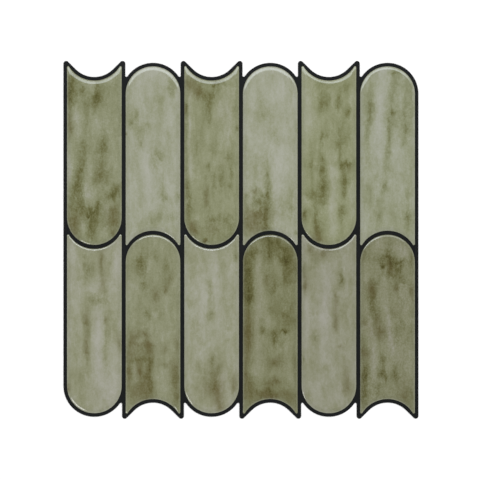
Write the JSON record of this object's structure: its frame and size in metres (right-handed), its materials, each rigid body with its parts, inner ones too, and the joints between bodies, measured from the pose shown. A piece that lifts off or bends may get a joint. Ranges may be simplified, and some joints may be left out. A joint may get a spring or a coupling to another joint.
{
  "type": "self-adhesive mosaic tile",
  "caption": "Peel-and-stick wall tile sheet: glossy domed finger tiles with round and hollow ends, nested in staggered columns on one die-cut black adhesive film.",
  "frame": {"origin": "middle of the sheet, on its adhesive back", "axes": "+Z out of the face, +X across the columns, +Y along the tiles, towards the hollow ends of the first column"},
  "size_m": [0.2906, 0.2928, 0.002],
  "materials": {
    "film": "matte",
    "tile_glaze": "gloss"
  },
  "bodies": {
    "root": {"backing_film": "film", "tile_row_1_column_1": "tile_glaze", "tile_row_1_column_2": "tile_glaze", "tile_row_1_column_3": "tile_glaze", "tile_row_1_column_4": "tile_glaze", "tile_row_1_column_5": "tile_glaze", "tile_row_1_column_6": "tile_glaze", "tile_row_2_column_1": "tile_glaze", "tile_row_2_column_2": "tile_glaze", "tile_row_2_column_3": "tile_glaze", "tile_row_2_column_4": "tile_glaze", "tile_row_2_column_5": "tile_glaze", "tile_row_2_column_6": "tile_glaze"}
  },
  "joints": []
}
